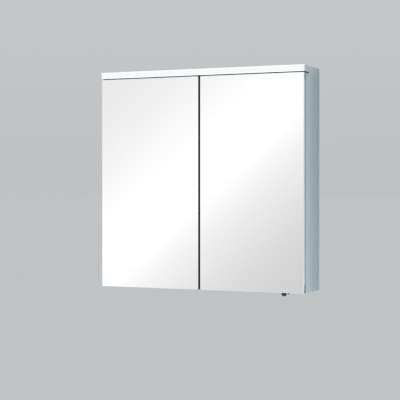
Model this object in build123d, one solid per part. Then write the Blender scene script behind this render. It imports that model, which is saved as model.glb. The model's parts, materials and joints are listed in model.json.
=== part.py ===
from build123d import *
import os

# Two-door mirror cabinet with a light head on top, hung on a wall rail. Millimetres.
# X runs to the user's right, Y into the wall, Z up. Sizes are worked out with z = 0 at the
# cabinet's underside and y = 0 on the wall. save() then moves everything down by hang_height,
# so that the origin is on the wall, midway between the two screw holes of the wall rail.
# Everything is made for the right-hand side and mirrored for the left.

# --- driving dimensions ---
width = 700.0
height = 700.0
depth = 150.0
hang_height = 615.0        # wall rail's screw line above the underside

panel = 12.0               # side, top and bottom panels
sheet = 2.0                # folded sheet of the light head
soft_edge = 0.6            # rounding of the outer aluminium edges
head_height = 23.0         # light head over the carcass
lamp_depth = 45.0          # part of the light head that overhangs the doors
lamp_lift = 3.0            # its underside is this much higher than the carcass

front_glass = 4.0          # outer mirror of a door
frame_depth = 8.0          # aluminium frame between a door's two mirrors
back_glass = 4.0           # inner mirror of a door
door_clearance = 3.0       # between a closed door and the carcass
side_inset = 1.0           # door edge to the cabinet's side
middle_gap = 5.0           # between the two outer mirrors
glass_facet = 1.0          # ground edge of the outer mirrors
frame_width = 22.0         # seen from the front
door_top_gap = 0.3         # under the top hinge arm

pivot_inset = 6.0          # hinge axis to the door's outer edge
pivot_setback = 10.0       # hinge axis behind the mirror's face
pin_radius = 3.0
running_clearance = 0.05
bush_radius = 4.5
hinge_block_width = 18.0
hinge_block_height = 20.0
foot_notch = 7.0           # open corner under the lower hinge block

shelf_thickness = 6.0
shelf_pin_radius = 2.5
shelf_row_start = 140.0
shelf_row_pitch = 40.0
shelf_rows = 10
shelves_in_rows = {"lower": 1, "middle": 5, "upper": 9}

rear_recess = 18.0         # space for the rail and hangers behind the back panel
back_sheet = 4.0
back_mirror = 3.0

button_x = 271.0
button_y = -110.0
button_radius = 8.2
button_drop = 14.0         # below the underside
button_travel = 2.0
bezel_radius = button_radius + 1.3
bezel_bore = button_radius + 0.4
bezel_flange = 1.5
pilot_x = button_x + 14.5
pilot_radius = 2.25
pilot_drop = 8.0

# --- places that follow from them ---
side = width / 2
inside = side - panel
carcass_top = height - head_height
door_depth = front_glass + frame_depth + back_glass
mirror_face = -depth
frame_front = mirror_face + front_glass
frame_back = frame_front + frame_depth
door_back = mirror_face + door_depth
carcass_front = door_back + door_clearance
lamp_bottom = carcass_top + lamp_lift
lamp_back = lamp_depth - depth
door_outer = side - side_inset
door_inner = middle_gap / 2
door_top = carcass_top - door_top_gap
pivot_x = door_outer - pivot_inset
pivot_y = mirror_face + pivot_setback
block_x = door_outer - hinge_block_width
back_front = -rear_recess - back_sheet
mirror_front = back_front - back_mirror

os.makedirs("parts", exist_ok=True)


def block(x0, x1, y0, y1, z0, z1):
    """A box between two corners."""
    return Pos((x0 + x1) / 2, (y0 + y1) / 2, (z0 + z1) / 2) * Box(x1 - x0, y1 - y0, z1 - z0)


def upright(x, y, z0, z1, radius):
    """A cylinder along Z."""
    return Pos(x, y, (z0 + z1) / 2) * Cylinder(radius, z1 - z0)


def along_x(y, z, x0, x1, radius):
    """A cylinder along X."""
    return Pos((x0 + x1) / 2, y, z) * Rot(0, 90, 0) * Cylinder(radius, x1 - x0)


def along_y(x, z, y0, y1, radius):
    """A cylinder along Y."""
    return Pos(x, (y0 + y1) / 2, z) * Rot(90, 0, 0) * Cylinder(radius, y1 - y0)


def other_side(shape):
    """The same piece on the left-hand side."""
    return mirror(shape, about=Plane.YZ)


def both_sides(*shapes):
    """Right-hand pieces together with their left-hand copies."""
    return [*shapes, *(other_side(shape) for shape in shapes)]


def save(name, *pieces):
    """Write one node: a single piece, or a group of identical separate ones."""
    solids = [solid for piece in pieces for solid in piece.solids()]
    shape = solids[0] if len(solids) == 1 else Compound(solids)
    export_step(Pos(0, 0, -hang_height) * shape, f"parts/{name}.step")


def save_pair(name, shape):
    """Write a right-hand piece and its mirrored left-hand twin."""
    save(f"{name}_right", shape)
    save(f"{name}_left", other_side(shape))


# --- carcass -----------------------------------------------------------------------------------
screw_y = carcass_front + 11.0
screw_z = carcass_top - 8.0
screw_radius = 2.0
screw_head_radius = 3.5
screw_head = 2.5
screw_length = 28.0

shelf_pin_ys = (carcass_front + 19.0, mirror_front - 15.0)
shelf_pin_depth = 8.0
arm_notch = 1.5            # relief in the side panel's top under the hinge arm


def side_screw():
    """Countersunk screw through a side panel into the end of the top panel."""
    shank = along_x(screw_y, screw_z, side - screw_length, side, screw_radius)
    return shank + along_x(screw_y, screw_z, side - screw_head, side, screw_head_radius)


def side_panel():
    """Side panel with two rows of shelf holes, and a notch at the top for the hinge arm."""
    shape = block(inside, side, carcass_front, 0, 0, carcass_top)
    shape = fillet(shape.faces().sort_by(Axis.X)[-1].edges(), soft_edge)
    shape -= block(inside, side, carcass_front, lamp_back, carcass_top - arm_notch, carcass_top)
    for row in range(shelf_rows):
        for y in shelf_pin_ys:
            z = shelf_row_start + row * shelf_row_pitch
            shape -= along_x(y, z, inside, inside + shelf_pin_depth, shelf_pin_radius)
    return shape - side_screw()


arm_thickness = 2.0
arm_screw_y = lamp_back - 8.0
arm_screw_xs = (303.0, 327.0)
arm_foot_x = 293.0         # inner end of the hinge arms
lower_arm_bottom = 1.2
lower_arm_top = 4.2
arm_screw_radius = 1.75
arm_screw_head_radius = 3.0
arm_screw_length = 9.0
arm_screw_head = 1.2


def arm_screws(z_face, z_tip):
    """The two screws of one hinge arm. Their heads are sunk in the arm at z_face."""
    head_end = z_face - arm_screw_head if z_face > z_tip else z_face + arm_screw_head
    screws = []
    for x in arm_screw_xs:
        low, high = sorted((z_face, z_tip))
        screw = upright(x, arm_screw_y, low, high, arm_screw_radius)
        low, high = sorted((z_face, head_end))
        screws.append(screw + upright(x, arm_screw_y, low, high, arm_screw_head_radius))
    return screws


upper_arm_top = carcass_top + arm_thickness
upper_arm_screws = arm_screws(upper_arm_top, upper_arm_top - arm_screw_length)
lower_arm_screws = arm_screws(lower_arm_bottom, lower_arm_bottom + arm_screw_length)


def top_panel():
    """Top of the carcass, under the light head."""
    shape = block(-inside, inside, carcass_front, 0, carcass_top - panel, carcass_top)
    for screw in both_sides(side_screw(), *upper_arm_screws):
        shape -= screw
    return shape


def bottom_panel():
    """Bottom of the carcass, with pockets for the lower hinge arms and the switch holes."""
    shape = block(-inside, inside, carcass_front, 0, 0, panel)
    pocket = block(arm_foot_x - 2, inside, carcass_front, lamp_back + 3, 0, lower_arm_top)
    for cut in both_sides(pocket, *lower_arm_screws):
        shape -= cut
    shape -= upright(button_x, button_y, 0, panel, bezel_radius)
    return shape - upright(pilot_x, button_y, 0, panel, pilot_radius)


hanger_screw_xs = (276.0, 304.0)
hanger_screw_z = hang_height - 10.0
hanger_screw_radius = 2.5


def hanger_screws():
    """Screws that hold a hanger to the back panel, with their heads in the rear recess."""
    screws = []
    for x in hanger_screw_xs:
        shank = along_y(x, hanger_screw_z, back_front, 3.0 - rear_recess, hanger_screw_radius)
        head = along_y(x, hanger_screw_z, sheet - rear_recess, 5.0 - rear_recess, 4.2)
        screws.append(shank + head)
    return screws


def back_panel():
    """Back sheet between the top and bottom panels, in front of the rear recess."""
    shape = block(-inside, inside, back_front, -rear_recess, panel, carcass_top - panel)
    for screw in both_sides(*hanger_screws()):
        shape -= screw
    return shape


def corner_bracket(z_corner, direction):
    """Folded angle in the rear recess that ties a side panel to the top or bottom panel."""
    leg = 24.0
    z_flat = sorted((z_corner, z_corner + direction * sheet))
    z_tall = sorted((z_corner, z_corner + direction * leg))
    y0, y1 = 3.0 - rear_recess, -3.0
    flat = block(inside - leg, inside, y0, y1, *z_flat)
    return flat + block(inside - sheet, inside, y0, y1, *z_tall)


save_pair("side_panel", side_panel())
save("top_panel", top_panel())
save("bottom_panel", bottom_panel())
save("back_panel", back_panel())
save("back_mirror", block(1 - inside, inside - 1, mirror_front, back_front,
                          panel + 1, carcass_top - panel - 1))
save("side_screws", *both_sides(side_screw()))
save("corner_brackets", *both_sides(corner_bracket(panel, 1),
                                    corner_bracket(carcass_top - panel, -1)))


# --- glass shelves -----------------------------------------------------------------------------
def shelf(row):
    """Toughened glass shelf lying on four pins, with a ground edge all round."""
    z = shelf_row_start + row * shelf_row_pitch + shelf_pin_radius
    glass = block(2 - inside, inside - 2, carcass_front + 8, mirror_front - 2,
                  z, z + shelf_thickness)
    return chamfer(glass.edges(), 0.8)


def shelf_pins(row):
    """The four pins of one shelf, each with a collar against the side panel."""
    z = shelf_row_start + row * shelf_row_pitch
    pins = []
    for y in shelf_pin_ys:
        pin = along_x(y, z, inside - 8, inside + shelf_pin_depth, shelf_pin_radius)
        pins.append(pin + along_x(y, z, inside - 1, inside, 4.0))
    return both_sides(*pins)


for place, row in shelves_in_rows.items():
    save(f"glass_shelf_{place}", shelf(row))
save("shelf_pins", *(pin for row in shelves_in_rows.values() for pin in shelf_pins(row)))

# --- light head --------------------------------------------------------------------------------
diffuser_wall = 3.0
cap_x = side - sheet
lamp_front = mirror_face + diffuser_wall
cable_x = 230.0
cable_z = carcass_top + 11.5
grommet_radius = 8.0
grommet_lip = 1.2
cable_radius = 5.0


def light_housing():
    """Folded sheet of the light head: lid, back, floor and the raised floor over the doors."""
    floor = carcass_top + sheet
    profile = Polyline(
        (lamp_front, height), (0, height), (0, carcass_top), (lamp_back, carcass_top),
        (lamp_back, lamp_bottom), (lamp_front, lamp_bottom), (lamp_front, lamp_bottom + sheet),
        (lamp_back + sheet, lamp_bottom + sheet), (lamp_back + sheet, floor),
        (-sheet, floor), (-sheet, height - sheet), (lamp_front, height - sheet), close=True)
    shape = extrude(Plane.YZ * make_face(profile), amount=cap_x, both=True)
    return shape - along_y(cable_x, cable_z, -sheet, 0, grommet_radius)


def light_end_cap():
    """Flat plate that closes an end of the light head, with the slot of its catch."""
    outline = Polyline(
        (lamp_front, height), (0, height), (0, carcass_top), (lamp_back, carcass_top),
        (lamp_back, lamp_bottom), (lamp_front, lamp_bottom), close=True)
    shape = Pos(cap_x, 0, 0) * extrude(Plane.YZ * make_face(outline), amount=sheet)
    shape = fillet(shape.faces().sort_by(Axis.X)[-1].edges(), soft_edge)
    slot_y = lamp_back - 4.4
    return shape - block(cap_x, side, slot_y, slot_y + 2.4, lamp_bottom + 2.5, height - 5)


def light_diffuser():
    """Opal cover: the front strip and the two legs that snap into the housing."""
    leg_end = lamp_front + 8
    leg = 1.6
    low, high = lamp_bottom + sheet, height - sheet
    shape = block(-side, side, mirror_face, lamp_front, lamp_bottom, height)
    shape = fillet(shape.faces().sort_by(Axis.Y)[0].edges(), 0.8)
    shape += block(1 - cap_x, cap_x - 1, lamp_front, leg_end, low, low + leg)
    return shape + block(1 - cap_x, cap_x - 1, lamp_front, leg_end, high - leg, high)


heat_sink_front = -128.0
board_thickness = 1.6
board_half_height = 6.0
board_z = (lamp_bottom + height) / 2
chip_count = 40
chip_pitch = 17.0
chip_height = 0.8


def led_chips():
    """The row of light-emitting chips on the front of the board."""
    y1 = heat_sink_front - board_thickness
    first = -chip_pitch * (chip_count - 1) / 2
    return [block(x - 1.75, x + 1.75, y1 - chip_height, y1, board_z - 1.4, board_z + 1.4)
            for x in (first + chip_pitch * number for number in range(chip_count))]


def led_heat_sink():
    """Aluminium bar with cooling grooves, standing on the lamp's floor behind the board."""
    z0, z1 = lamp_bottom + sheet, height - sheet - 1.5
    shape = block(-340, 340, heat_sink_front, heat_sink_front + 6, z0, z1)
    for step in range(3):
        z = z0 + 3 + 4 * step
        shape -= block(-340, 340, heat_sink_front + 3, heat_sink_front + 6, z, z + 1.8)
    return shape


def led_driver():
    """Power supply of the light, in a closed case on the housing's floor."""
    floor = carcass_top + sheet
    case = block(-90, 90, -92, -48, floor, floor + 18)
    case = fillet(case.edges().filter_by(Axis.Z), 3)
    tab_right = block(90, 100, -78, -62, floor, floor + 2) - upright(95, -70, floor, floor + 2, 1.6)
    return case + tab_right + other_side(tab_right)


def terminal_block():
    """Three-way mains terminal beside the cable entry."""
    floor = carcass_top + sheet
    shape = block(150, 190, -42, -22, floor, floor + 14)
    for number in range(3):
        x = 157 + 13 * number
        shape -= upright(x, -32, floor + 8, floor + 14, 2.2)
        shape -= along_y(x, floor + 4, -27, -22, 2.0)
    return shape


def cable_grommet():
    """Rubber ring that lines the cable hole in the back of the light head."""
    ring = along_y(cable_x, cable_z, -4.5, -sheet, grommet_radius + grommet_lip)
    ring += along_y(cable_x, cable_z, -sheet, 0, grommet_radius)
    return ring - along_y(cable_x, cable_z, -4.5, 0, cable_radius)


save("light_housing", light_housing())
save_pair("light_end_cap", light_end_cap())
save("light_diffuser", light_diffuser())
save("led_board", block(-338, 338, heat_sink_front - board_thickness, heat_sink_front,
                        board_z - board_half_height, board_z + board_half_height))
save("led_chips", *led_chips())
save("led_heat_sink", led_heat_sink())
save("led_driver", led_driver())
save("terminal_block", terminal_block())
save("cable_grommet", cable_grommet())


# --- doors -------------------------------------------------------------------------------------
lower_block = (foot_notch, foot_notch + hinge_block_height)
upper_block = (door_top - hinge_block_height, door_top)


def hinge_corners(y0, y1):
    """The two outer corners that the hinge blocks and the foot notch take from a door layer."""
    low = block(block_x, door_outer, y0, y1, 0, lower_block[1])
    return low + block(block_x, door_outer, y0, y1, upper_block[0], door_top)


def door_front_mirror():
    """Outer mirror, covering the whole door, with ground edges."""
    glass = block(door_inner, door_outer, mirror_face, frame_front, 0, door_top)
    return chamfer(glass.faces().sort_by(Axis.Y)[0].edges(), glass_facet)


def door_window(y0, y1):
    """The space inside the door frame."""
    return block(door_inner + frame_width, door_outer - frame_width, y0, y1,
                 frame_width, door_top - frame_width)


def door_frame():
    """Aluminium frame between the two mirrors."""
    ring = block(door_inner, door_outer, frame_front, frame_back, 0, door_top)
    return ring - door_window(frame_front, frame_back) - hinge_corners(frame_front, frame_back)


def door_back_mirror():
    """Inner mirror, cut away at the hinge blocks."""
    glass = block(door_inner + 1, door_outer - 1, frame_back, door_back, 1, door_top - 1)
    return glass - hinge_corners(frame_back, door_back)


def door_hinge_blocks():
    """Cast corner blocks that carry the hinge bushes."""
    return [block(block_x, door_outer, frame_front, door_back, z0, z1)
            - upright(pivot_x, pivot_y, z0, z1, bush_radius)
            for z0, z1 in (lower_block, upper_block)]


def door_hinge_bushes():
    """Slippery bushes that turn on the pins. The lower one has a collar that carries the door."""
    bore = pin_radius + running_clearance
    collar_bottom = lower_arm_top + 0.3
    low = upright(pivot_x, pivot_y, *lower_block, bush_radius)
    low += upright(pivot_x, pivot_y, collar_bottom, foot_notch, bush_radius + 0.9)
    low -= upright(pivot_x, pivot_y, collar_bottom, lower_block[1], bore)
    high = upright(pivot_x, pivot_y, *upper_block, bush_radius)
    return [low, high - upright(pivot_x, pivot_y, *upper_block, bore)]


def door_edge_seal():
    """Black strip along the closing edge, over the edges of both mirrors."""
    front = mirror_face + glass_facet + 0.2
    strip = block(door_inner - 1.5, door_inner, front, door_back - 1, 2, door_top - 2)
    return fillet(strip.faces().sort_by(Axis.X)[0].edges().filter_by(Axis.Z), 0.7)


catch_z = carcass_top - panel
catch_front = carcass_front - 1.2


def strike_plate():
    """Steel plate on the inner mirror that meets the magnetic catch."""
    plate = block(12, 48, door_back, catch_front - 0.4, catch_z - 11, catch_z - 1)
    return fillet(plate.edges().filter_by(Axis.Y), 2)


def magnet():
    """Magnet of a door catch."""
    return block(14, 46, catch_front, carcass_front + 13, catch_z - 9, catch_z - 3)


def magnetic_catch():
    """Plastic body of a door catch, hung under the top panel."""
    body = block(10, 50, catch_front, carcass_front + 17, catch_z - 12, catch_z)
    body = fillet(body.edges().filter_by(Axis.Z), 1.5)
    return body - magnet()


def door_bumpers():
    """Soft studs on the bottom panel's front edge that the doors close on."""
    return [along_y(x, panel / 2, door_back + 0.3, carcass_front, 3.5) for x in (60.0, 275.0)]


save_pair("door_front_mirror", door_front_mirror())
save_pair("door_frame", door_frame())
save_pair("door_core", door_window(frame_front, frame_back))
save_pair("door_back_mirror", door_back_mirror())
save_pair("door_edge_seal", door_edge_seal())
save_pair("door_strike_plate", strike_plate())
for part_name, pieces in (("door_hinge_blocks", door_hinge_blocks()),
                          ("door_hinge_bushes", door_hinge_bushes())):
    save(f"{part_name}_right", *pieces)
    save(f"{part_name}_left", *(other_side(piece) for piece in pieces))
save("magnetic_catches", *both_sides(magnetic_catch()))
save("catch_magnets", *both_sides(magnet()))
save("door_bumpers", *both_sides(*door_bumpers()))


# --- hinges ------------------------------------------------------------------------------------
def upper_hinge_arm():
    """Plate on the top panel that reaches forward over the door and holds the upper pin."""
    z0, z1 = carcass_top, upper_arm_top
    shape = block(inside - 1, door_outer, pivot_y, lamp_back, z0, z1)
    shape += block(arm_foot_x, door_outer, lamp_back - 16, lamp_back, z0, z1)
    shape += upright(pivot_x, pivot_y, z0, z1, pivot_inset)
    for cut in (*upper_arm_screws, upper_pin()):
        shape -= cut
    return shape


def lower_hinge_arm():
    """Plate in the bottom panel's pocket that reaches into the door's foot notch."""
    z0, z1 = lower_arm_bottom, lower_arm_top
    neck_right = pivot_x + 3.5
    neck_back = carcass_front - 0.4
    shape = block(arm_foot_x, inside - 0.3, door_back + 0.5, lamp_back, z0, z1)
    shape += block(block_x + 0.5, neck_right, neck_back - 4.6, neck_back, z0, z1)
    shape += block(inside, neck_right, pivot_y, neck_back, z0, z1)
    shape += upright(pivot_x, pivot_y, z0, z1, 5.0)
    for cut in (*lower_arm_screws, lower_pin()):
        shape -= cut
    return shape


def upper_pin():
    """Pin pressed into the upper arm, pointing down into the door."""
    return upright(pivot_x, pivot_y, upper_block[0] + 1.5, upper_arm_top, pin_radius)


def lower_pin():
    """Pin pressed into the lower arm, pointing up into the door."""
    return upright(pivot_x, pivot_y, lower_arm_bottom, lower_block[1] - 3, pin_radius)


save_pair("hinge_arm_upper", upper_hinge_arm())
save_pair("hinge_arm_lower", lower_hinge_arm())
save("hinge_pins", *both_sides(upper_pin(), lower_pin()))
save("hinge_arm_screws", *both_sides(*upper_arm_screws, *lower_arm_screws))

# --- light switch under the right-hand side ----------------------------------------------------
switch_floor = panel + 3.0
switch_slide = panel + 6.0
switch_top = panel + 22.0
stem_radius = 2.5


def switch_bezel():
    """Sleeve through the bottom panel with a thin flange below."""
    sleeve = upright(button_x, button_y, 0, panel, bezel_radius)
    sleeve += upright(button_x, button_y, -bezel_flange, 0, bezel_radius + 1)
    return sleeve - upright(button_x, button_y, -bezel_flange, panel, bezel_bore)


def switch_body():
    """Switch case inside the cabinet, with the guide of the button's stem."""
    case = block(button_x - 12, button_x + 26, button_y - 12, button_y + 12, panel, switch_top)
    case = fillet(case.edges().filter_by(Axis.Z), 3)
    case = fillet(case.faces().sort_by(Axis.Z)[-1].edges(), 1.5)
    case -= upright(button_x, button_y, panel, switch_floor, 7.0)
    case -= upright(button_x, button_y, switch_floor, switch_slide, stem_radius + running_clearance)
    case -= upright(button_x, button_y, switch_slide, switch_top - 4, 5.2)
    return case - upright(pilot_x, button_y, panel, switch_slide, pilot_radius)


def push_button():
    """Domed button with its stem and the collar that keeps it in."""
    cap_top = panel - button_travel - 2
    cap = upright(button_x, button_y, -button_drop, cap_top, button_radius)
    cap = fillet(cap.faces().sort_by(Axis.Z)[0].edges(), button_radius - 1.2)
    stem = upright(button_x, button_y, cap_top, switch_slide + 0.3, stem_radius)
    return cap + stem + upright(button_x, button_y, switch_slide + 0.3, switch_slide + 2, 4.6)


def button_spring():
    """Return spring round the button's stem."""
    wire = 0.45
    cap_top = panel - button_travel - 2
    path = Pos(button_x, button_y, cap_top + wire) * Helix(pitch=1.4, height=3.0, radius=4.4)
    return sweep(Plane(path @ 0, z_dir=path % 0) * Circle(wire), path=path, is_frenet=True)


def pilot_lens():
    """Small lens of the orientation light beside the button."""
    lens = upright(pilot_x, button_y, -pilot_drop, switch_slide, pilot_radius)
    return fillet(lens.faces().sort_by(Axis.Z)[0].edges(), pilot_radius - 0.4)


save("switch_bezel", switch_bezel())
save("switch_body", switch_body())
save("push_button", push_button())
save("button_spring", button_spring())
save("pilot_lens", pilot_lens())

# --- wall fixing -------------------------------------------------------------------------------
rail_half = 320.0
rail_sheet = 1.5
rail_low = hang_height - 18
rail_shelf = hang_height + 14
rail_hook_top = hang_height + 26
rail_hole_x = 250.0
rail_hole_radius = 3.5


def wall_rail():
    """Steel rail screwed to the wall, with an upstand that the hangers hook behind."""
    profile = Polyline(
        (0, rail_low), (0, rail_shelf), (-7.5, rail_shelf), (-7.5, rail_hook_top),
        (-9, rail_hook_top), (-9, rail_shelf - rail_sheet), (-rail_sheet, rail_shelf - rail_sheet),
        (-rail_sheet, rail_low), close=True)
    rail = extrude(Plane.YZ * make_face(profile), amount=rail_half, both=True)
    for x in (-rail_hole_x, rail_hole_x):
        rail -= along_y(x, hang_height, -rail_sheet, 0, rail_hole_radius)
    return rail


def cabinet_hanger():
    """Folded hanger on the back panel, with side flanges and the hook for the rail."""
    x0, x1 = 262.0, 318.0
    z0, z1 = hang_height - 25, hang_height + 35
    front = -rear_recess
    shape = block(x0, x1, front, front + sheet, z0, z1)
    for flange_x in (x0, x1 - sheet):
        shape += block(flange_x, flange_x + sheet, front, front + 8, z0, z1)
    hook_top = rail_hook_top + 6
    shape += block(x0 + 8, x1 - 8, front, -4.5, hook_top - sheet, hook_top)
    shape += block(x0 + 8, x1 - 8, -6.5, -4.5, rail_shelf, hook_top)
    for screw in hanger_screws():
        shape -= screw
    return shape


def wall_spacer():
    """Rubber foot that keeps the lower edge parallel to the wall."""
    return along_y(300, 60, -rear_recess, 0, 12)


save("wall_rail", wall_rail())
save_pair("hanger", cabinet_hanger())
save("hanger_screws", *both_sides(*hanger_screws()))
save("wall_spacers", *both_sides(wall_spacer()))
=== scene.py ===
# %% [markdown]
# # A bathroom mirror cabinet with a light head
#
# The real object is an aluminium box for the wall, with two mirrored doors, glass shelves and a
# light head on top. The CAD model already holds every part at its right place and size. This
# lesson loads it as a fixed frame, gives each kind of part its finish, and models again the
# pieces whose charm is in small shapes: ground glass edges, rubber lips, screws and a spring.
# All lengths are in metres, X runs to the user's right, Y into the wall and Z up.

# %% Load the frame
import json
import math

import bmesh
import bpy
import numpy as np
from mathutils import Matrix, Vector


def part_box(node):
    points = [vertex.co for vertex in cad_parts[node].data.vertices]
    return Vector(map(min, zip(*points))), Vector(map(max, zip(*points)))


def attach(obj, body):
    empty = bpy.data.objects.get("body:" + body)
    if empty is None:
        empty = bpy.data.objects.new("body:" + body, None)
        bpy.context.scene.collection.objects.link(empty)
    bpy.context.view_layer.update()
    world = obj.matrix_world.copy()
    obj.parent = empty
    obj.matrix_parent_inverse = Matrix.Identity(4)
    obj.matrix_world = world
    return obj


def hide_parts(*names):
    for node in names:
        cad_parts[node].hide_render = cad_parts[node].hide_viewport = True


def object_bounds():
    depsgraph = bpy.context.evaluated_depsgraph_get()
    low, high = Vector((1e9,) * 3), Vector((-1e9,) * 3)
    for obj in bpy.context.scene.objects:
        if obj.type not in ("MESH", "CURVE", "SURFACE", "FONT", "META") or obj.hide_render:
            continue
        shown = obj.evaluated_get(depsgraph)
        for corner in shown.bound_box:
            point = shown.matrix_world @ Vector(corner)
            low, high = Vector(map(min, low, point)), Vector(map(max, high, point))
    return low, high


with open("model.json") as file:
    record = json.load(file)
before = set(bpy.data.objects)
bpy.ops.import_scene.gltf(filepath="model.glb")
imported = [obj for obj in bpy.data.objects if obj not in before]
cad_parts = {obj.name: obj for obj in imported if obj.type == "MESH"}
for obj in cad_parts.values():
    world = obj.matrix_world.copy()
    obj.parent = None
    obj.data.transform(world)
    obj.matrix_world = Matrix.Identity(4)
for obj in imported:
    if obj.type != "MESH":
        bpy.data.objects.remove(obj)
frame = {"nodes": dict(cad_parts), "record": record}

CAD_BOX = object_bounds()
LOW, HIGH = (np.array(corner) for corner in CAD_BOX)
MM = 0.001
print("cabinet box in mm:", np.round((HIGH - LOW) / MM, 1))

# %% [markdown]
# ## Meshes from arrays
#
# A turned part is a profile carried round an axis, a seal is a section carried along a line, and
# a sheet of glass is an outline that shrinks and grows through its thickness. All three are the
# same thing to a computer: rings of points, one after the other. One helper joins the rings with
# quads, and closes the first and the last with a single face or a pole.


# %% Rings to a mesh
def ring_quads(rings, around):
    """Quads between neighbouring rings. Quad (i, j) joins points j and j + 1 of ring i with the
    same points of ring i + 1, and j + 1 wraps to 0 at the end of a ring."""
    i, j = np.meshgrid(np.arange(rings - 1), np.arange(around), indexing="ij")
    k = (j + 1) % around
    quads = np.stack([i * around + j, i * around + k, (i + 1) * around + k, (i + 1) * around + j], -1)
    return quads.reshape(-1, 4)


def rings_to_solid(points):
    """Vertices and faces of a closed solid from an array of rings (ring, point, xyz)."""
    rings, around = points.shape[:2]
    faces = ring_quads(rings, around).tolist()
    faces.append(list(range(around))[::-1])
    faces.append(list(range((rings - 1) * around, rings * around)))
    return points.reshape(-1, 3), faces


def join_solids(solids):
    """One list of vertices and faces from several separate solids."""
    points, faces, start = [], [], 0
    for solid_points, solid_faces in solids:
        points.append(solid_points)
        faces.extend([[index + start for index in face] for face in solid_faces])
        start += len(solid_points)
    return np.concatenate(points), faces


def add_piece(name, solids, body, slot, stands_for, crease=32):
    """Make an object of closed solids that rides on a body in place of CAD nodes, with the
    finish that the table FINISHES gives for its slot. Edges that turn by more than crease
    degrees stay sharp, and the rest shade smoothly."""
    points, faces = join_solids(solids)
    mesh = bpy.data.meshes.new(name)
    mesh.from_pydata(points.tolist(), [], faces)
    mesh.validate()
    piece = bpy.data.objects.new(name, mesh)
    bpy.context.scene.collection.objects.link(piece)
    face_outwards(mesh)
    mesh.shade_smooth()
    mesh.set_sharp_from_angle(angle=math.radians(crease))
    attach(piece, body)
    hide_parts(*stands_for)
    mesh.materials.append(FINISHES[slot])
    print(f"{name}: {len(mesh.polygons)} faces, stands for {', '.join(stands_for)}")


def face_outwards(mesh):
    """Turn every face of closed solids to point out of them."""
    form = bmesh.new()
    form.from_mesh(mesh)
    bmesh.ops.recalc_face_normals(form, faces=form.faces)
    form.to_mesh(mesh)
    form.free()


# %% [markdown]
# ## Ways to make rings
#
# `turned` spins a profile of radius and height round an axis, and `turned_ring` does so with a
# hole left in the middle. `drawn` carries a flat section along a straight line. `plate` stacks
# rounded rectangles, each drawn in by the amount its edge profile gives, which is how a glass
# grinder sees a pane: an outline and an edge.


# %% Turned, drawn and plate
AROUND, SMALL_AROUND = 48, 24


def axes_along(direction):
    """Two directions square to the given one, and the direction itself, as rows of an array."""
    w = np.array(direction, float)
    u = np.cross([0.0, 0.0, 1.0] if abs(w[2]) < 0.9 else [1.0, 0.0, 0.0], w)
    u /= np.linalg.norm(u)
    return np.stack([u, np.cross(w, u), w])


def turned(base, direction, profile, outline=None, around=AROUND):
    """A solid of revolution. At angle a a point of the profile (r, h) lies at
    base + r * m * (cos a * u + sin a * v) + h * w, where m is the outline's factor for that
    ring and angle, or 1."""
    angle = np.linspace(0, 2 * math.pi, around, endpoint=False)
    u, v, w = axes_along(direction)
    radius, rise = np.array(profile, float).T
    factor = np.ones((len(radius), around)) if outline is None else outline(angle)
    reach = (radius[:, None] * factor)[..., None]
    circle = np.cos(angle)[:, None] * u + np.sin(angle)[:, None] * v
    return rings_to_solid(np.array(base, float) + reach * circle + rise[:, None, None] * w)


def turned_ring(base, direction, profile):
    """A closed ring: a closed profile of (r, h) points spun round the axis, with no poles."""
    angle = np.linspace(0, 2 * math.pi, AROUND, endpoint=False)
    u, v, w = axes_along(direction)
    radius, rise = np.array(profile, float).T
    circle = np.cos(angle)[:, None] * u + np.sin(angle)[:, None] * v
    points = np.array(base, float) + radius[:, None, None] * circle + rise[:, None, None] * w
    closed = np.concatenate([points, points[:1]])
    faces = ring_quads(len(closed), AROUND) % (len(points) * AROUND)
    return points.reshape(-1, 3), faces.tolist()


def drawn(section, start, stop, axis):
    """A closed section, as points on the two other axes in X, Y, Z order, drawn along one axis."""
    section = np.array(section, float)
    ring = np.insert(section, axis, start, axis=1)
    far = np.insert(section, axis, stop, axis=1)
    return rings_to_solid(np.stack([ring, far]))


def rounded_outline(half_width, half_height, radius, steps=8):
    """Rounded rectangle round the origin: four quarter circles of one radius, centred radius
    inside each corner, with straight lines between them."""
    angle = np.linspace(0, math.pi / 2, steps)
    arc = radius * np.stack([np.cos(angle), np.sin(angle)], -1)
    turns = [np.array([[1, 0], [0, 1]]), np.array([[0, -1], [1, 0]]),
             np.array([[-1, 0], [0, -1]]), np.array([[0, 1], [-1, 0]])]
    signs = np.array([[1, 1], [-1, 1], [-1, -1], [1, -1]])
    centres = signs * [half_width - radius, half_height - radius]
    return np.concatenate([centre + arc @ turn.T for centre, turn in zip(centres, turns)])


SMALLEST_CORNER = 0.3 * MM


def plate(low, high, axis, edge, corner):
    """A pane between two corners of a box. Edge is a list of (depth, inset): at that share of
    the thickness the outline is drawn in by inset metres, and so is the radius of its corners."""
    low, high = np.array(low, float), np.array(high, float)
    flat = [number for number in range(3) if number != axis]
    half = (high - low)[flat] / 2
    centre = (high + low) / 2
    rings = []
    for share, inset in edge:
        outline = rounded_outline(*(half - inset), max(corner - inset, SMALLEST_CORNER))
        ring = np.insert(outline, axis, 0.0, axis=1) + centre
        ring[:, axis] = low[axis] + share * (high[axis] - low[axis])
        rings.append(ring)
    return rings_to_solid(np.stack(rings))


def mirrored(solid):
    """The same solid on the cabinet's other side: X changes sign."""
    points, faces = solid
    return points * [-1, 1, 1], [face[::-1] for face in faces]


def both_sides(solids):
    """Solids of the right-hand side with their left-hand copies."""
    return solids + [mirrored(solid) for solid in solids]


# %% [markdown]
# ## Shader groups
#
# Finishes share a few effects: the grain that a brush leaves in aluminium, the soft marks of
# hands, the speckle of moulded plastic, dust on what faces up, and the ground edge of glass.
# Each is a node group with named sockets, so a material only says how long the grain is or how
# strong the dust. A noise rarely leaves NOISE_SPAN, so that span is what gets stretched.


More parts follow.
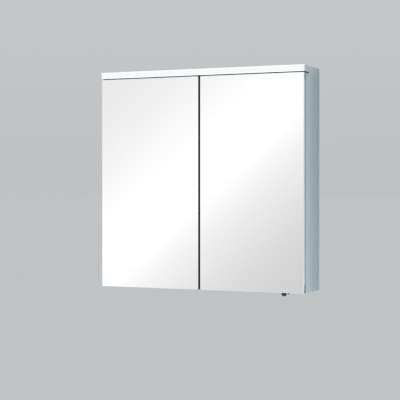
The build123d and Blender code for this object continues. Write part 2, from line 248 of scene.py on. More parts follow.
# %% A small language for nodes
def new_group(name, inputs, outputs):
    """An empty shader group. Inputs are (name, kind, default) and outputs are (name, kind)."""
    group = bpy.data.node_groups.new(name, "ShaderNodeTree")
    for label, kind, default in inputs:
        socket = group.interface.new_socket(label, in_out="INPUT", socket_type=kind)
        socket.default_value = default
    for label, kind in outputs:
        group.interface.new_socket(label, in_out="OUTPUT", socket_type=kind)
    return group, group.nodes.new("NodeGroupInput"), group.nodes.new("NodeGroupOutput")


def fill_sockets(tree, node, sockets):
    """Give each socket a value, or link an output to it. Underscores in socket names stand for
    spaces, and a name like in_0 picks a socket by its number."""
    for key, value in sockets.items():
        number = key.removeprefix("in_")
        socket = node.inputs[int(number)] if number.isdigit() else node.inputs[key.replace("_", " ")]
        if isinstance(value, bpy.types.NodeSocket):
            tree.links.new(value, socket)
        else:
            socket.default_value = value


def add_node(tree, kind, settings=None, **sockets):
    """Add a node. Settings are its properties, and the rest fill its sockets."""
    node = tree.nodes.new("ShaderNode" + kind)
    for key, value in (settings or {}).items():
        setattr(node, key, value)
    fill_sockets(tree, node, sockets)
    return node


def calculate(tree, operation, first, second=0.0, third=0.0):
    """One step of arithmetic: the named operation on up to three values."""
    node = add_node(tree, "Math", {"operation": operation}, in_0=first, in_1=second, in_2=third)
    return node.outputs[0]


def remap(tree, value, low, high, to_low, to_high):
    """Carry a value from one range to another, held at the ends."""
    node = add_node(tree, "MapRange", {"clamp": True}, Value=value, From_Min=low, From_Max=high,
                    To_Min=to_low, To_Max=to_high)
    return node.outputs["Result"]


def mix_colours(tree, factor, first, second):
    """Blend two colours by a factor from 0 to 1."""
    node = add_node(tree, "Mix", {"data_type": "RGBA"}, in_0=factor, in_6=first, in_7=second)
    return node.outputs[2]


# %% Brushed grain, hand marks, moulded speckle, dust and ground edges
FLOAT, VECTOR = "NodeSocketFloat", "NodeSocketVector"
NOISE_SPAN = (0.3, 0.7)


def make_brushed_grain():
    """Fine streaks: noise of object coordinates stretched by Stretch, so that small numbers
    draw the pattern out along their axis. Broad adds slow bands across the sheet."""
    group, given, result = new_group("brushed_grain", [
        ("Coordinates", VECTOR, (0, 0, 0)), ("Stretch", VECTOR, (3, 900, 900)),
        ("Broad Share", FLOAT, 0.35)], [("Streaks", FLOAT)])
    stretched = add_node(group, "VectorMath", {"operation": "MULTIPLY"},
                         in_0=given.outputs["Coordinates"], in_1=given.outputs["Stretch"])
    fine = add_node(group, "TexNoise", Vector=stretched.outputs[0], Scale=1.0, Detail=4.0)
    slow = add_node(group, "TexNoise", Vector=stretched.outputs[0], Scale=0.04, Detail=2.0)
    both = add_node(group, "Mix", in_0=given.outputs["Broad Share"],
                    in_2=fine.outputs["Fac"], in_3=slow.outputs["Fac"])
    group.links.new(both.outputs[0], result.inputs["Streaks"])
    return group


def make_hand_marks():
    """Soft clouds where hands and cloths have been: the product of two noises, one broad and
    one finer, brought to a mask from 0 to 1."""
    group, given, result = new_group("hand_marks", [
        ("Coordinates", VECTOR, (0, 0, 0)), ("Size", FLOAT, 7.0)], [("Mask", FLOAT)])
    broad = add_node(group, "TexNoise", Vector=given.outputs["Coordinates"],
                     Scale=given.outputs["Size"], Detail=3.0, Distortion=0.6)
    finer = add_node(group, "TexNoise", Vector=given.outputs["Coordinates"], Scale=60.0, Detail=5.0)
    product = calculate(group, "MULTIPLY", broad.outputs["Fac"], finer.outputs["Fac"])
    group.links.new(remap(group, product, 0.18, 0.42, 0.0, 1.0), result.inputs["Mask"])
    return group


def make_moulded_speckle():
    """The eroded surface of a moulding tool: fine bumps with a slow change of tone."""
    group, given, result = new_group("moulded_speckle", [
        ("Coordinates", VECTOR, (0, 0, 0)), ("Grain Size", FLOAT, 2600.0)],
        [("Height", FLOAT), ("Tone", FLOAT)])
    fine = add_node(group, "TexNoise", Vector=given.outputs["Coordinates"],
                    Scale=given.outputs["Grain Size"], Detail=2.0, Roughness=0.6)
    slow = add_node(group, "TexNoise", Vector=given.outputs["Coordinates"], Scale=35.0, Detail=4.0)
    group.links.new(fine.outputs["Fac"], result.inputs["Height"])
    group.links.new(remap(group, slow.outputs["Fac"], *NOISE_SPAN, 0.0, 1.0), result.inputs["Tone"])
    return group


def make_settled_dust():
    """Dust lies where the surface looks up: the normal's Z, times a broken noise, times Amount."""
    group, given, result = new_group("settled_dust", [
        ("Coordinates", VECTOR, (0, 0, 0)), ("Amount", FLOAT, 0.25)], [("Mask", FLOAT)])
    normal = add_node(group, "NewGeometry").outputs["Normal"]
    height = add_node(group, "SeparateXYZ", Vector=normal).outputs["Z"]
    facing = remap(group, height, 0.55, 1.0, 0.0, 1.0)
    broken = add_node(group, "TexNoise", Vector=given.outputs["Coordinates"], Scale=90.0, Detail=6.0)
    patchy = remap(group, broken.outputs["Fac"], 0.35, 0.75, 0.2, 1.0)
    lying = calculate(group, "MULTIPLY", facing, patchy)
    amount = calculate(group, "MULTIPLY", lying, given.outputs["Amount"])
    group.links.new(amount, result.inputs["Mask"])
    return group


def make_ground_edge():
    """Tells a pane's edge from its faces: 1 where the normal lies in the plane of the pane,
    0 where it points out of its face. Face is the direction of the face. The normal is the
    object's own, so a pane keeps its edges when its door swings."""
    group, given, result = new_group("ground_edge", [
        ("Own Normal", VECTOR, (0, 1, 0)), ("Face", VECTOR, (0, 1, 0))], [("Mask", FLOAT)])
    along = add_node(group, "VectorMath", {"operation": "DOT_PRODUCT"},
                     in_0=given.outputs["Own Normal"], in_1=given.outputs["Face"]).outputs["Value"]
    size = calculate(group, "ABSOLUTE", along)
    group.links.new(remap(group, size, 0.85, 0.98, 1.0, 0.0), result.inputs["Mask"])
    return group


BRUSHED = make_brushed_grain()
HANDS = make_hand_marks()
MOULDED = make_moulded_speckle()
DUST = make_settled_dust()
EDGE = make_ground_edge()
print("shader groups:", [group.name for group in bpy.data.node_groups])

# %% [markdown]
# ## Finishes
#
# Every finish starts as a Principled shader with its constant values set on the shader itself.
# The groups then vary colour, roughness and bump about those values. Patterns read object
# coordinates, because every piece has its origin at the cabinet's own origin.


# %% A finish to build on
def start_finish(name, **values):
    """A material with a Principled shader, and its object coordinates."""
    material = bpy.data.materials.new(name)
    material.use_nodes = True
    tree = material.node_tree
    shader = tree.nodes["Principled BSDF"]
    for key, value in values.items():
        shader.inputs[key.replace("_", " ")].default_value = value
    where = tree.nodes.new("ShaderNodeTexCoord").outputs["Object"]
    return material, tree, shader, where


def use_group(tree, group, **sockets):
    """Place a shader group in a material with its own values."""
    node = tree.nodes.new("ShaderNodeGroup")
    node.node_tree = group
    fill_sockets(tree, node, sockets)
    return node.outputs


def bump(tree, shader, height, strength, distance):
    """Raise the shader's normal by a height."""
    node = add_node(tree, "Bump", Strength=strength, Distance=distance, Height=height)
    tree.links.new(node.outputs["Normal"], shader.inputs["Normal"])


def rgb(*values):
    """A colour with full alpha."""
    return (*values, 1.0)


# %% [markdown]
# ### Anodised aluminium
#
# The panels are rolled, brushed along their length and anodised, which leaves a satin skin with
# fine lines and a cool grey tone. A metallic Principled shader with streaked colour and
# roughness does that. The grain runs with the length of each profile, so upright and level
# parts need a finish each.


# %% Aluminium
ALUMINIUM = (0.63, 0.695, 0.725)
SATIN = 0.40


def aluminium(name, stretch):
    """Satin anodised aluminium with its grain drawn out along the axis of the small number."""
    material, tree, shader, where = start_finish(name, Metallic=0.62, Specular_IOR_Level=0.5)
    streaks = use_group(tree, BRUSHED, Coordinates=where, Stretch=stretch)["Streaks"]
    marks = use_group(tree, HANDS, Coordinates=where)["Mask"]
    dust = use_group(tree, DUST, Coordinates=where, Amount=0.18)["Mask"]
    light = rgb(*(value * 1.06 for value in ALUMINIUM))
    dark = rgb(*(value * 0.94 for value in ALUMINIUM))
    grained = mix_colours(tree, remap(tree, streaks, *NOISE_SPAN, 0.0, 1.0), dark, light)
    dusted = mix_colours(tree, dust, grained, rgb(0.62, 0.61, 0.59))
    tree.links.new(dusted, shader.inputs["Base Color"])
    rough = remap(tree, streaks, *NOISE_SPAN, SATIN - 0.05, SATIN + 0.06)
    handled = calculate(tree, "MULTIPLY_ADD", marks, 0.05, rough)
    tree.links.new(handled, shader.inputs["Roughness"])
    bump(tree, shader, streaks, strength=0.12, distance=0.04 * MM)
    return material


upright_aluminium = aluminium("upright_aluminium", (900, 900, 4))
level_aluminium = aluminium("level_aluminium", (4, 900, 900))
end_aluminium = aluminium("end_aluminium", (900, 5, 900))

# %% [markdown]
# ### Mirror, clear glass and opal acrylic
#
# A mirror is float glass with silver behind it. Its faces only need a metallic shader that is
# almost perfectly smooth, while its ground edges show the glass itself, which is duller and
# greenish. The shelves are clear glass, and the light strip is acrylic that glows.


# %% Mirror, shelf glass and opal acrylic
# How far from the middle the mirror's edge is painted black, as painted shade in the door gap.
GAP_SHADE_REACH = 8 * MM
CHIP_PITCH, RIM_START = 17 * MM, 0.72
strip_low, strip_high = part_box("light_diffuser")
STRIP_MIDDLE = (strip_low.z + strip_high.z) / 2
STRIP_HALF = (strip_high.z - strip_low.z) / 2


def mirror_glass(name):
    """Silvered glass: a metallic face with faint wipe marks, and a satin green-grey edge. Near the
    middle, beside the gap between the doors, the edge is painted black as painted shade for the
    shade in that gap. Two mirrors that face each other would pass light on for ever, so from the
    third reflection on the silver counts as a pale matt face and stands for all the reflections after
    it."""
    material, tree, shader, where = start_finish(name, Specular_IOR_Level=0.6)
    edge = use_group(tree, EDGE, Own_Normal=where.node.outputs["Normal"], Face=(0, 1, 0))["Mask"]
    marks = use_group(tree, HANDS, Coordinates=where, Size=3.0)["Mask"]
    silver = mix_colours(tree, marks, rgb(0.965, 0.965, 0.965), rgb(0.955, 0.955, 0.956))
    sideways = add_node(tree, "SeparateXYZ", Vector=where).outputs["X"]
    from_gap = calculate(tree, "ABSOLUTE", sideways)
    # Painted shade: the edge turns black near the middle, beside the gap between the doors.
    gap_shade = remap(tree, from_gap, GAP_SHADE_REACH - 1 * MM, GAP_SHADE_REACH, 1.0, 0.0)
    ground = mix_colours(tree, gap_shade, rgb(0.78, 0.84, 0.83), rgb(0.02, 0.02, 0.022))
    tree.links.new(mix_colours(tree, edge, silver, ground), shader.inputs["Base Color"])
    reflections = add_node(tree, "LightPath").outputs["Glossy Depth"]
    metal = calculate(tree, "MULTIPLY", remap(tree, edge, 0.0, 1.0, 1.0, 0.3),
                      remap(tree, reflections, 2.0, 3.0, 1.0, 0.0))
    tree.links.new(metal, shader.inputs["Metallic"])
    smooth = remap(tree, marks, 0.0, 1.0, 0.012, 0.03)
    rough = calculate(tree, "MAXIMUM", smooth, remap(tree, edge, 0.0, 1.0, 0.0, 0.22))
    tree.links.new(rough, shader.inputs["Roughness"])
    return material


def shelf_glass(name):
    """Clear float glass, clean on its faces and greener on its polished edges."""
    material, tree, shader, where = start_finish(name, Transmission_Weight=1.0, IOR=1.52)
    edge = use_group(tree, EDGE, Own_Normal=where.node.outputs["Normal"], Face=(0, 0, 1))["Mask"]
    marks = use_group(tree, HANDS, Coordinates=where)["Mask"]
    toned = mix_colours(tree, edge, rgb(0.95, 0.975, 0.965), rgb(0.55, 0.80, 0.72))
    tree.links.new(toned, shader.inputs["Base Color"])
    tree.links.new(remap(tree, marks, 0.0, 1.0, 0.01, 0.06), shader.inputs["Roughness"])
    return material


def opal_acrylic(name):
    """Opal acrylic lit from behind: even white with the faint swell of the chips behind it, and
    brighter towards its long edges, where the light that runs inside the sheet comes out."""
    material, tree, shader, where = start_finish(
        name, Roughness=0.38, Subsurface_Weight=0.15, Emission_Strength=0.5)
    across = add_node(tree, "SeparateXYZ", Vector=where).outputs["X"]
    swell = calculate(tree, "SINE", calculate(tree, "MULTIPLY", across, 2 * math.pi / CHIP_PITCH))
    glow = remap(tree, swell, -1.0, 1.0, 0.0, 1.0)
    even = mix_colours(tree, glow, rgb(0.55, 0.55, 0.55), rgb(0.565, 0.565, 0.56))
    height = add_node(tree, "SeparateXYZ", Vector=where).outputs["Z"]
    from_middle = calculate(tree, "ABSOLUTE", calculate(tree, "SUBTRACT", height, STRIP_MIDDLE))
    rim = remap(tree, from_middle, RIM_START * STRIP_HALF, STRIP_HALF, 0.0, 1.0)
    tree.links.new(mix_colours(tree, rim, even, rgb(1.0, 1.0, 1.0)), shader.inputs["Emission Color"])
    speckle = use_group(tree, MOULDED, Coordinates=where, Grain_Size=1400.0)
    toned = mix_colours(tree, speckle["Tone"], rgb(0.69, 0.69, 0.69), rgb(0.71, 0.71, 0.71))
    tree.links.new(toned, shader.inputs["Base Color"])
    bump(tree, shader, speckle["Height"], strength=0.05, distance=0.03 * MM)
    return material


silvered = mirror_glass("silvered_glass")
shelf_clear = shelf_glass("shelf_glass")
opal = opal_acrylic("opal_acrylic")
print("the strip is", round(2 * STRIP_HALF / MM, 1), "mm high")


# %% [markdown]
# ### Plastic, rubber, steel and zinc
#
# These are small parts, so one recipe serves them: a base tone with a slow change, a fine bump,
# and dust where they look up. Metal parts switch the shader to metallic.


# %% Small-part finishes
def small_part(name, tone, roughness, metallic=0.0, grain=2600.0, relief=0.15, dust=0.2,
               spread=0.1, **values):
    """A moulded, cast or plated finish. Tone varies by the spread, and roughness by a tenth."""
    material, tree, shader, where = start_finish(name, Metallic=metallic, **values)
    speckle = use_group(tree, MOULDED, Coordinates=where, Grain_Size=grain)
    lying = use_group(tree, DUST, Coordinates=where, Amount=dust)["Mask"]
    dark = rgb(*(value * (1 - spread) for value in tone))
    light = rgb(*(min(1.0, value * (1 + 0.8 * spread)) for value in tone))
    toned = mix_colours(tree, speckle["Tone"], dark, light)
    dusty = mix_colours(tree, lying, toned, rgb(0.55, 0.54, 0.52))
    tree.links.new(dusty, shader.inputs["Base Color"])
    tree.links.new(remap(tree, speckle["Tone"], 0.0, 1.0, roughness * 0.9, roughness * 1.1),
                   shader.inputs["Roughness"])
    bump(tree, shader, speckle["Height"], strength=relief, distance=0.05 * MM)
    return material


FINISHES = {
    "black_rubber": small_part("black_rubber", (0.013, 0.013, 0.014), 0.85, grain=1500.0,
                               relief=0.05, dust=0.1, Specular_IOR_Level=0.1),
    "clear_rubber": small_part("clear_rubber", (0.80, 0.81, 0.80), 0.35, Transmission_Weight=0.6),
    "black_plastic": small_part("black_plastic", (0.022, 0.022, 0.024), 0.42, relief=0.3),
    "smoked_lens": small_part("smoked_lens", (0.03, 0.03, 0.034), 0.12, relief=0.0, Coat_Weight=0.6),
    "blackened_steel": small_part("blackened_steel", (0.045, 0.045, 0.05), 0.42, 0.8, grain=900.0),
    "bright_steel": small_part("bright_steel", (0.62, 0.62, 0.63), 0.26, 1.0, grain=700.0),
    "galvanised_steel": small_part("galvanised_steel", (0.56, 0.58, 0.59), 0.45, 1.0, grain=120.0,
                                   relief=0.08),
    "cast_zinc": small_part("cast_zinc", (0.42, 0.45, 0.47), 0.4, 1.0, grain=1100.0, relief=0.35),
    "white_plastic": small_part("white_plastic", (0.80, 0.80, 0.79), 0.45),
    "composite_sheet": small_part("composite_sheet", (0.60, 0.615, 0.63), 0.5, 0.25, grain=420.0,
                                  relief=0.25, spread=0.025),
    "honeycomb_board": small_part("honeycomb_board", (0.60, 0.52, 0.40), 0.8, grain=300.0),
    "magnet_ceramic": small_part("magnet_ceramic", (0.09, 0.09, 0.095), 0.6, grain=800.0),
    "circuit_board": small_part("circuit_board", (0.82, 0.83, 0.81), 0.4, grain=400.0),
    "led_phosphor": small_part("led_phosphor", (0.90, 0.78, 0.25), 0.3, dust=0.0,
                               Emission_Color=rgb(1.0, 0.93, 0.78), Emission_Strength=0.8),
    "mirror_glass": silvered,
    "clear_glass": shelf_clear,
    "opal_acrylic": opal,
}


def finish_of(node):
    """The finish of a CAD node: its record slot, with the grain of aluminium by the part."""
    if node.startswith(("side_panel", "door_frame")):
        return upright_aluminium
    if node.startswith("light_end_cap"):
        return end_aluminium
    return FINISHES.get(SLOT_OF[node], level_aluminium)


SLOT_OF = {part["node"]: part["material_slot"] for part in frame["record"]["subparts"]}
for node, obj in frame["nodes"].items():
    obj.data.materials.clear()
    obj.data.materials.append(finish_of(node))
print(len(SLOT_OF), "CAD nodes dressed in", len(set(SLOT_OF.values())), "slots")


# %% [markdown]
# ## Door mirrors
#
# Each door has a 4 mm pane in front and another behind. The front pane is ground: a facet of
# about a millimetre runs round its face and catches the light as a bright line, and the rear
# arris is only broken. The pane is made as an outline with an edge profile, so the facet is
# real geometry, and its finish paints the edge black beside the gap between the doors, as
# painted shade for the shade in that gap. The rear pane is cut away at the hinges, so it stays
# as the CAD node.

# %% Front panes
FACET = 1.0 * MM
BROKEN_ARRIS = 0.2 * MM
FRONT_EDGE = [(0.0, FACET), (0.02, FACET * 0.9), (0.23, 0.08 * MM), (0.30, 0.0),
              (0.95, 0.0), (1.0, BROKEN_ARRIS)]

for side in ("left", "right"):
    node = f"door_front_mirror_{side}"
    pane = plate(*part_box(node), 1, FRONT_EDGE, corner=1.2 * MM)
    add_piece(f"front_pane_{side}", [pane], f"door_{side}", "mirror_glass", [node], 12)

# %% [markdown]
# ## Seals on the closing edges
#
# A soft black profile sits on each closing edge, so that the doors meet without a clack and no
# light shows between them. Its section is a small D with a groove down the middle. It is drawn
# along Z, because a real seal is extruded and cut to length.


# %% Edge seals
def seal_section(x_root, x_tip, y0, y1, steps=24):
    """A D with a groove: the tip side follows a flattened half circle whose height is
    sin(a) to the power 0.5, less a narrow dip at the middle."""
    angle = np.linspace(0, math.pi, steps)
    across = (y0 + y1) / 2 - (y1 - y0) / 2 * np.cos(angle)
    swell = np.sqrt(np.sin(angle)) * (1 - 0.45 * np.exp(-((angle - math.pi / 2) / 0.16) ** 2))
    return np.stack([x_root + (x_tip - x_root) * swell, across], -1)


for side, sign in (("left", -1), ("right", 1)):
    node = f"door_edge_seal_{side}"
    low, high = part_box(node)
    root, tip = (high.x, low.x) if sign > 0 else (low.x, high.x)
    section = seal_section(root, tip, low.y, high.y)
    seal = drawn(section, low.z, high.z, 2)
    add_piece(f"edge_seal_{side}", [seal], f"door_{side}", "black_rubber", [node], 50)

# %% [markdown]
# ## Light strip
#
# The white strip over the doors is the only part of the lamp that shows. It is a C of opal
# acrylic: a front 3 mm thick and two legs that snap into the housing. One section drawn along X
# gives it, and small steps in the legs are the snap hooks.
#
# The section has a known fault. Its upper front edge is rounded, but the points of its lower
# front arc run the wrong way, so the outline crosses itself there, and the front leans back by
# up to one radius above a small lip. Taking the angles in rising order would mend it.


# %% Opal strip
LEG_INSET = 2.0 * MM


def strip_section(low, high, steps=7):
    """The section in Y and Z: a quarter circle of radius r at the upper front corner, the legs
    with their hooks, and a quarter circle at the lower front corner, whose points run from
    front to bottom instead of from bottom to front."""
    radius, wall, leg, hook = 1.6 * MM, 3.0 * MM, 1.6 * MM, 0.6 * MM
    angle = np.linspace(0, math.pi / 2, steps)
    y0, y1 = low.y, low.y + wall
    backwards = angle[::-1]
    lower = np.stack([y0 + radius - radius * np.sin(backwards),
                      low.z + radius - radius * np.cos(backwards)], -1)
    upper = np.stack([y0 + radius - radius * np.cos(angle),
                      high.z - radius + radius * np.sin(angle)], -1)
    back, leg_low, leg_high = high.y, low.z + LEG_INSET, high.z - LEG_INSET
    legs = [(y1, high.z), (y1, leg_high), (back - hook, leg_high), (back, leg_high - hook),
            (back, leg_high - leg), (y1, leg_high - leg), (y1, leg_low + leg), (back, leg_low + leg),
            (back, leg_low + hook), (back - hook, leg_low), (y1, leg_low), (y1, low.z)]
    return np.concatenate([upper, np.array(legs), lower])


low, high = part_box("light_diffuser")
strip = drawn(strip_section(low, high), low.x, high.x, 0)
add_piece("light_strip", [strip], "cabinet", "opal_acrylic", ["light_diffuser"], 40)

# %% [markdown]
# ## Push button, bezel and lens
#
# The light is switched by a domed button under the right-hand side, with a small lens beside it
# that can be found in the dark. All three are turned shapes. The dome follows a quarter of a
# superellipse, which is flatter on top than a ball and feels better to a finger.


# %% Turned switch parts
def dome_profile(radius, straight, dome, power=2.4, steps=14):
    """Profile points (r, h) from the pole up the side: h runs from 0 at the pole, and the dome
    obeys (r / R)^p + (1 - h / H)^p = 1. A straight wall follows."""
    turn = np.linspace(0.0, math.pi / 2, steps)
    r = radius * np.sin(turn) ** (2 / power)
    h = dome * (1 - np.cos(turn) ** (2 / power))
    return [(max(a, 0.02 * MM), b) for a, b in zip(r, h)] + [(radius, straight)]


UP = (0, 0, 1)
STEM, STEM_COLLAR = 2.5 * MM, 4.6 * MM
low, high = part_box("push_button")
button_radius = (high.x - low.x) / 2
axis_x, axis_y = (low.x + high.x) / 2, (low.y + high.y) / 2
button_rise = high.z - low.z
cap_rise, stem_collar = 22 * MM, button_rise - 1.7 * MM
grip = [(button_radius, 9.2 * MM), (button_radius - 0.3 * MM, 9.5 * MM),
        (button_radius - 0.3 * MM, 9.9 * MM), (button_radius, 10.2 * MM)]
cap = dome_profile(button_radius, straight=9.0 * MM, dome=7.0 * MM)
cap += grip + [(button_radius, cap_rise - 0.4 * MM), (button_radius - 0.4 * MM, cap_rise),
               (STEM, cap_rise), (STEM, stem_collar), (STEM_COLLAR, stem_collar),
               (STEM_COLLAR, button_rise - 0.3 * MM), (STEM_COLLAR - 0.3 * MM, button_rise)]
button = turned((axis_x, axis_y, low.z), UP, cap)
add_piece("light_push_button", [button], "light_button", "black_plastic", ["push_button"], 30)

bezel_low, bezel_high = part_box("switch_bezel")
outer = (bezel_high.x - bezel_low.x) / 2
bore, sleeve = button_radius + 0.4 * MM, button_radius + 1.3 * MM
SLEEVE_END = 13.5 * MM
bezel_profile = [(bore, 0.3 * MM), (bore + 0.3 * MM, 0.0), (outer - 0.5 * MM, 0.0),
                 (outer, 0.5 * MM), (outer, 1.5 * MM), (sleeve, 1.5 * MM),
                 (sleeve, SLEEVE_END), (bore, SLEEVE_END)]
bezel = turned_ring((axis_x, axis_y, bezel_low.z), UP, bezel_profile)
add_piece("button_bezel", [bezel], "cabinet", "black_plastic", ["switch_bezel"], 30)

low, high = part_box("pilot_lens")
lens_radius = (high.x - low.x) / 2
lens_profile = dome_profile(lens_radius, straight=high.z - low.z, dome=2.0 * MM, power=2.0)
lens = turned(((low.x + high.x) / 2, axis_y, low.z), UP, lens_profile)
add_piece("pilot_light_lens", [lens], "cabinet", "smoked_lens", ["pilot_lens"], 30)

# %% [markdown]
# ## Return spring
#
# The spring round the button's stem is a wire on a helix. At turn t its centre is at radius R
# and height p times t. Two directions square to the wire carry a small circle along it: the one
# that points away from the axis, and its cross product with the wire's direction.


# %% Spring wire
def spring_wire(base, mean_radius, wire_radius, rise, turns, steps=28, around=10):
    """Centre c(t) = base + (R cos t, R sin t, rise * t / T). A ring point adds
    r (cos a * n + sin a * b), with n = (cos t, sin t, 0) and b the cross product of the
    wire's direction and n."""
    t = np.linspace(0, 2 * math.pi * turns, int(steps * turns) + 1)
    slope = rise / (2 * math.pi * turns)
    centre = np.stack([mean_radius * np.cos(t), mean_radius * np.sin(t), slope * t], -1) + base
    outward = np.stack([np.cos(t), np.sin(t), np.zeros_like(t)], -1)
    along = np.stack([-mean_radius * np.sin(t), mean_radius * np.cos(t), np.full_like(t, slope)], -1)
    along /= np.linalg.norm(along, axis=1, keepdims=True)
    across = np.cross(along, outward)
    angle = np.linspace(0, 2 * math.pi, around, endpoint=False)[None, :, None]
    ring = np.cos(angle) * outward[:, None] + np.sin(angle) * across[:, None]
    return rings_to_solid(centre[:, None] + wire_radius * ring)


low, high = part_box("button_spring")
WIRE, TURNS = 0.45 * MM, 3.0
spring = spring_wire(np.array([axis_x, axis_y, low.z + WIRE]), (high.x - low.x) / 2 - WIRE, WIRE,
                     high.z - low.z - 2 * WIRE, TURNS)
add_piece("return_spring", [spring], "light_button", "bright_steel", ["button_spring"], 60)

# %% [markdown]
# ## Screws with a hexagon socket
#
# A flat disc doesn't read as a screw. The head here is turned, and the socket in it is a hole
# whose rings follow a hexagon: at angle a the distance to a hexagon's side is
# 1 / cos(a mod 60 degrees - 30 degrees) times its half width. Head and shank are one solid.


# %% Hexagon heads
def hexagon(angle):
    """Distance from the centre to a hexagon of half width 1, at each angle."""
    return 1 / np.cos(np.mod(angle, math.pi / 3) - math.pi / 6)


def socket_screw(base, inward, head_radius, shank_radius, head, length):
    """A screw whose face lies at base. Profile from the socket's floor: out, up the hexagon,
    over the rounded face, down the head and along the shank to a chamfered tip."""
    key, deep = head_radius * 0.48, min(head * 0.8, head_radius * 0.7)
    profile = [(key * 0.05, deep), (key, deep), (key, 0.12 * MM), (key * 1.12, 0.0),
               (head_radius * 0.90, 0.0), (head_radius, head_radius * 0.10), (head_radius, head),
               (shank_radius, head), (shank_radius, length - 0.5 * MM), (shank_radius * 0.6, length)]

    def outline(angle):
        """Hexagonal for the socket's four points of the profile, and round for the rest."""
        factor = np.ones((len(profile), len(angle)))
        factor[:4] = hexagon(angle)
        return factor
    return turned(base, inward, profile, outline)


def corners(node):
    """Lowest and highest corner of a CAD node as arrays."""
    return [np.array(corner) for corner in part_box(node)]


low, high = corners("side_screws")
SUNK = 0.02 * MM
side_base = (high[0] - SUNK, (low[1] + high[1]) / 2, (low[2] + high[2]) / 2)
side_screw = socket_screw(side_base, (-1, 0, 0), head_radius=3.5 * MM, shank_radius=2 * MM,
                          head=2.5 * MM, length=28 * MM)
add_piece("side_socket_screws", both_sides([side_screw]), "cabinet", "bright_steel", ["side_screws"])

ARM_SCREW_PITCH, ARM_HEAD = 24 * MM, 3 * MM
low, high = corners("hinge_arm_screws")
screw_x, screw_y = high[0] - ARM_HEAD, (low[1] + high[1]) / 2
arm_screws = [socket_screw((x, screw_y, z), (0, 0, inward), ARM_HEAD, shank_radius=1.75 * MM,
                           head=1.2 * MM, length=9 * MM)
              for x in (screw_x, screw_x - ARM_SCREW_PITCH)
              for z, inward in ((high[2], -1), (low[2], 1))]
add_piece("hinge_arm_socket_screws", both_sides(arm_screws), "cabinet", "blackened_steel",
          ["hinge_arm_screws"])

HANGER_SCREW_PITCH, HANGER_HEAD = 28 * MM, 4.2 * MM
low, high = corners("hanger_screws")
screw_x, screw_z = high[0] - HANGER_HEAD, (low[2] + high[2]) / 2
hanger_screws = [socket_screw((x, high[1], screw_z), (0, -1, 0), HANGER_HEAD,
                              shank_radius=2.5 * MM, head=3 * MM, length=9 * MM)
                 for x in (screw_x, screw_x - HANGER_SCREW_PITCH)]
add_piece("hanger_socket_screws", both_sides(hanger_screws), "cabinet", "bright_steel",
          ["hanger_screws"])

# %% [markdown]
# ## Shelves and their pins
#
# The shelves are toughened glass, 6 mm thick, with polished edges and slightly rounded corners.
# Each lies on four steel pins that push into rows of holes. A pin has a collar against the
# panel, and a rounded nose.

# %% Glass shelves
POLISHED_EDGE = [(0.0, 0.8 * MM), (0.04, 0.45 * MM), (0.12, 0.1 * MM), (0.25, 0.0),
                 (0.75, 0.0), (0.88, 0.1 * MM), (0.96, 0.45 * MM), (1.0, 0.8 * MM)]

for place in ("lower", "middle", "upper"):
    node = f"glass_shelf_{place}"
    pane = plate(*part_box(node), 2, POLISHED_EDGE, corner=4 * MM)
    add_piece(f"shelf_pane_{place}", [pane], "cabinet", "clear_glass", [node], 25)

# %% Shelf pins
low, high = corners("shelf_pins")
PIN, COLLAR = 2.5 * MM, 4.0 * MM
PIN_LENGTH, PANEL_FACE, COLLAR_THICK = 16 * MM, 8 * MM, 1 * MM
collar_start = PANEL_FACE - COLLAR_THICK
pin_profile = [(PIN * 0.05, 0.0), (PIN * 0.8, 0.0), (PIN, 0.5 * MM), (PIN, collar_start),
               (COLLAR - 0.3 * MM, collar_start), (COLLAR, collar_start + 0.3 * MM),
               (COLLAR, PANEL_FACE), (PIN, PANEL_FACE),
               (PIN, PIN_LENGTH - 0.5 * MM), (PIN * 0.8, PIN_LENGTH)]
pin_ys = (low[1] + COLLAR, high[1] - COLLAR)
pin_zs = np.linspace(low[2] + COLLAR, high[2] - COLLAR, 3)
pins = [turned((high[0] - PIN_LENGTH, y, z), (1, 0, 0), pin_profile, around=SMALL_AROUND)
        for y in pin_ys for z in pin_zs]
add_piece("shelf_support_pins", both_sides(pins), "cabinet", "bright_steel", ["shelf_pins"])

# %% [markdown]
# ## Rubber feet, studs and the cable ring
#
# Behind the cabinet two rubber feet keep it parallel to the wall. Small clear studs soften the
# closing of the doors, and a rubber ring lines the cable hole. Grooves and rounded rims make
# them read as rubber.

# %% Rubber parts
OUT_OF_WALL = (0, -1, 0)
low, high = corners("wall_spacers")
FOOT = 12 * MM
GROOVE = FOOT - 1.2 * MM
foot_profile = [(FOOT * 0.03, 0.0), (FOOT * 0.9, 0.0), (FOOT, 1.2 * MM), (FOOT, 4 * MM),
                (GROOVE, 4.8 * MM), (GROOVE, 6 * MM), (FOOT, 6.8 * MM), (FOOT, 11 * MM),
                (GROOVE, 11.8 * MM), (GROOVE, 13 * MM), (FOOT, 13.8 * MM), (FOOT, 16.5 * MM),
                (GROOVE, 17.8 * MM), (FOOT * 0.55, 18 * MM), (FOOT * 0.5, 17.2 * MM),
                (FOOT * 0.03, 17.2 * MM)]
foot = turned((high[0] - FOOT, low[1], (low[2] + high[2]) / 2), (0, 1, 0), foot_profile)
add_piece("wall_feet", both_sides([foot]), "cabinet", "black_rubber", ["wall_spacers"])

low, high = corners("door_bumpers")
STUD, STUD_WALL, STUD_DOME, STUD_PITCH = 3.5 * MM, 0.8 * MM, 1.9 * MM, 215 * MM
stud_profile = [(STUD, 0.0), (STUD, STUD_WALL)] + [
    (STUD * math.cos(turn), STUD_WALL + STUD_DOME * math.sin(turn))
    for turn in np.linspace(0.15, 1.5, 8)]
stud_xs = (high[0] - STUD, high[0] - STUD - STUD_PITCH)
studs = [turned((x, high[1], (low[2] + high[2]) / 2), OUT_OF_WALL, stud_profile, around=SMALL_AROUND)
         for x in stud_xs]
add_piece("door_studs", both_sides(studs), "cabinet", "clear_rubber", ["door_bumpers"])

